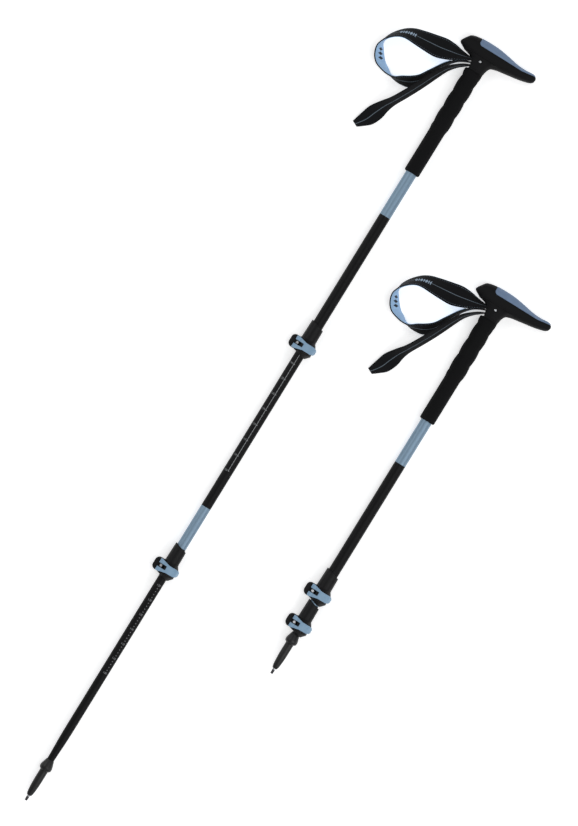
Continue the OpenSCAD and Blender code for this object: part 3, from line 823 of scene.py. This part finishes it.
def scaleMarks(kind):
    # Ticks and numbers from the first major mark up the tube, rolled onto it
    marks, radius = tubes[kind]["scale"], tubes[kind]["radius"]
    majorPitch = marks["pitch"] * tick["perMajor"]
    k = np.arange((marks["majors"] - 1) * tick["perMajor"] + 1)
    major = k % tick["perMajor"] == 0
    bar = boxGrid()
    work = bmesh.new()
    places = np.zeros((len(k), 4, 3))
    places[:, 0, 0] = np.where(major, tick["majorLength"], tick["length"])
    places[:, 1, 1] = tick["width"] * np.where(major, 1.3, 1)
    places[:, 2, 2] = tick["thick"]
    places[:, 3, 0] = marks["from"]
    places[:, 3, 1] = marks["first"] + k * marks["pitch"]
    # On the middle tube a thin grey line runs along the tube's top. Among the ticks it is partly a printed
    # scale line and partly a painted highlight. Above them, on up towards the lock, it is a painted
    # highlight streak.
    if kind == "middle":  # a thin line runs through the ticks and on up the tube
        inkAndHighlightLine = np.zeros((1, 4, 3))
        inkAndHighlightLine[0, :3] = np.diag([tick["inkAndHighlightLine"], len(k) * marks["pitch"] + tick["inkAndHighlightLineAbove"], tick["thick"]])
        inkAndHighlightLine[0, 3] = (-tick["inkAndHighlightLine"] / 2, marks["first"] + inkAndHighlightLine[0, 1, 1] / 2, -0.005)
        places = np.concatenate([places, inkAndHighlightLine])
    else:  # here the numbers stand in the row itself, in place of the long ticks
        places = places[~major]
    work.from_mesh(meshOf(repeated(bar, places), 1e-5))
    for number in range(marks["majors"]):
        mesh = digits(str(tick["firstNumber"] + 5 * number), tick["digitHeight"], tick["thick"])
        mesh.transform(Matrix.Translation((marks["numberEnd"], marks["first"] + number * majorPitch,
                                           tick["thick"] / 2)))
        work.from_mesh(mesh)
    mesh = bpy.data.meshes.new("marks")
    work.to_mesh(mesh)
    work.free()
    points = np.empty(len(mesh.vertices) * 3)
    mesh.vertices.foreach_get("co", points)
    mesh.vertices.foreach_set("co", wrapped(points.reshape(-1, 3), radius, 0.01).ravel())
    return tidied(mesh, 1e-4)


def boxGrid():
    # A unit bar from x 0 to 1, y -0.5 to 0.5, z 0 to 1, with steps along x so that it can bend
    x = np.linspace(0, 1, 6)[:, None]
    section = np.array([(-0.5, 0), (0.5, 0), (0.5, 1), (-0.5, 1)])
    points = np.stack(np.broadcast_arrays(x, section[None, :, 0], section[None, :, 1]), -1)
    middle = points.mean(1, keepdims=True) + 0 * points
    return grid(np.concatenate([middle[:1], points, middle[-1:]]), False, True)


print("tubes")
# This grey ink colours the ticks and numbers, and also the line along the middle tube's top that is partly a
# painted highlight.
ink = flatInk("scaleInkAndHighlight", tints["marks"])
for kind, t in tubes.items():
    paint = tubePaint(kind + "TubePaint", tints["tube"], tints["band"], t.get("band"))
    place(kind + "_shaft", tubeShape(kind), t["at"], kind, "black_tube", paint, [kind + "_tube"])
    if "scale" in t:
        place(kind + "_scale_marks", scaleMarks(kind), t["at"], kind, "black_tube", ink, smoothed=False)

# Locks

lock = {"collarVoxel": 0.42, "leverVoxel": 0.3, "collarRelax": 5, "leverRelax": 6, "boreRoom": 0.14}


def reamed(mesh, bore):  # every point nearer the shaft's axis than the bore moves out to it
    points = np.empty(len(mesh.vertices) * 3)
    mesh.vertices.foreach_get("co", points)
    points = points.reshape(-1, 3)
    radius = np.maximum(np.hypot(points[:, 0], points[:, 2]), 1e-6)
    points[:, ::2] *= np.maximum(1, bore / radius)[:, None]
    mesh.vertices.foreach_set("co", points.ravel())
    mesh.update()
    return mesh


print("locks")
collarPlastic = mouldedPlastic("collarPlastic", tints["plasticDark"], tints["plasticLight"], 0.42, 0.4,
                               tints["plasticEdge"])
leverPlastic = mouldedPlastic("leverPlastic", tints["leverDark"], tints["leverLight"], 0.34, 0.5,
                              tints["leverEdge"])
steel = turnedMetal("turnedSteel", tints["steel"], 0.24, (1, 1, 0.1))
blackSteel = turnedMetal("blackenedSteel", tints["blackSteel"], 0.34, (0.1, 1, 1))
carbide = turnedMetal("carbide", tints["carbide"], 0.42, (1, 0.2, 1))
acetal = mouldedPlastic("guideAcetal", tints["acetal"], [c * 1.3 for c in tints["acetal"]], 0.4, 0.4,
                        (0.2, 0.2, 0.21))
for which, at, inner in (("upper", "upper", "middle"), ("lower", "middle", "lower")):
    # Each lock stands on one tube, whose name is also its place, and clamps the next one in
    collar = fused(cadCopy(which + "_lock_collar", at), lock["collarVoxel"], lock["collarRelax"])
    collar = reamed(collar, tubes[inner]["radius"] + lock["boreRoom"])
    place(which + "_clamp_body", collar, at, at, "black_plastic", collarPlastic, [which + "_lock_collar"])
    lever = fused(cadCopy(which + "_lock_lever", at), lock["leverVoxel"], lock["leverRelax"])
    place(which + "_flip_lever", lever, at, which + "_lever", "blue_plastic", leverPlastic,
          [which + "_lock_lever"])

# Ferrule, tip and small metal

print("ferrules and tips")
ferrule = [(0, 9), (3.6, 9), (5, 13), (5.8, 20), (6.5, 32), (6.5, 53.5), (9, 55), (9.8, 57.5), (9.8, 60.5),
           (6.3, 72), (5.5, 72), (5.5, 55.5), (0, 55.5)]
ferruleRadii = [0, 0.8, 1.2, 5, 5, 0.8, 1, 1, 1.2, 0.6, 0.2, 0.2, 0]
ferrulePlastic = mouldedPlastic("ferrulePlastic", tints["plasticDark"], tints["plasticLight"], 0.36, 0.4,
                                tints["plasticEdge"], 0.4)
place("ferrule_body", meshOf(turned(rounded(ferrule, ferruleRadii, 6), 80)), "tip", "lower", "black_plastic",
      ferrulePlastic, ["ferrule"])
sleeve = [(1.2, 6.5), (2.4, 6.5), (2.4, 27), (1.2, 27)]
place("tip_sleeve", meshOf(turned(rounded(sleeve, 0.25, 5), 48)), "tip", "lower", "steel", steel,
      ["tip_holder"])
point = [(0, 1), (1.2, 0), (1.9, 0), (2.3, 6.4), (1.2, 6.4), (1.2, 14), (0, 14)]
pointRadii = [0, 0.3, 0.3, 0.2, 0.1, 0.1, 0]
place("tip_bit", meshOf(turned(rounded(point, pointRadii, 5), 48)), "tip", "lower", "carbide", carbide,
      ["tip_point"])
crossPin = turnedAbout(pin["at"], pin["radius"], -pin["half"], pin["half"], pin["round"])
place("strap_cross_pin", meshOf(crossPin), "neck", "upper", "steel", steel, ["strap_pin"])

# What stays as the CAD has it, with its own finish

kept = {"strap_wedge": collarPlastic, "upper_lock_barrel": blackSteel,
        "lower_lock_barrel": blackSteel, "upper_lock_screw": steel, "lower_lock_screw": steel,
        "upper_lock_washer": steel, "lower_lock_washer": steel,
        "middle_guide": acetal, "lower_guide": acetal}
for pole in poles:
    for name, material in kept.items():
        node = nodes[f"{pole}_{name}"]
        node.data.materials.clear()
        node.data.materials.append(material)

# Floor, lights and camera

print("studio")
view = {"centre": (-0.0458, 0.0362), "height": 1.264, "roll": 31.6, "distance": 6.0, "sensor": 36.0}
lens = view["sensor"] * view["distance"] / view["height"]
cameraData = bpy.data.cameras.new("camera")
cameraData.lens, cameraData.sensor_width = lens, view["sensor"]
camera = bpy.data.objects.new("camera", cameraData)
camera.location = (*view["centre"], view["distance"])
camera.rotation_euler = (0, 0, radians(view["roll"]))
bpy.context.scene.collection.objects.link(camera)
bpy.context.scene.camera = camera

floorMesh = bpy.data.meshes.new("floor")
half, level = 8, -0.0004
corners = [(-half, -half, level), (half, -half, level), (half, half, level), (-half, half, level)]
floorMesh.from_pydata(corners, [], [(0, 1, 2, 3)])
floor = bpy.data.objects.new("floor", floorMesh)
bpy.context.scene.collection.objects.link(floor)
floorFinish = Finish("paleFloor")
floorMesh.materials.append(floorFinish.done((0.9, 0.9, 0.9, 1), 0.9, Specular_IOR_Level=0.0,
                                            Emission_Color=(1, 1, 1, 1), Emission_Strength=0.5))

lamps = {"left": ((-2.6, 0.6, 2.4), 2.2, 34), "right": ((2.4, -0.4, 2.6), 2.2, 38),
         "front": ((0.3, -3.0, 2.2), 1.8, 16), "top": ((0.8, 2.6, 3.0), 1.8, 20),
         "above": ((0.9, 0.1, 4.2), 0.7, 16)}
for name, (spot, size, energy) in lamps.items():
    lampData = bpy.data.lights.new(name, "AREA")
    lampData.size, lampData.energy = size, energy
    lamp = bpy.data.objects.new(name, lampData)
    lamp.location = spot
    lamp.rotation_euler = (-lamp.location).to_track_quat("-Z", "Y").to_euler()
    bpy.context.scene.collection.objects.link(lamp)
world = bpy.data.worlds.new("studio")
bpy.context.scene.world = world
world.use_nodes = True
backdrop = world.node_tree.nodes["Background"]
backdrop.inputs["Color"].default_value = (0.92, 0.94, 0.97, 1)
backdrop.inputs["Strength"].default_value = 0.22
bpy.context.scene.view_settings.view_transform = "Standard"
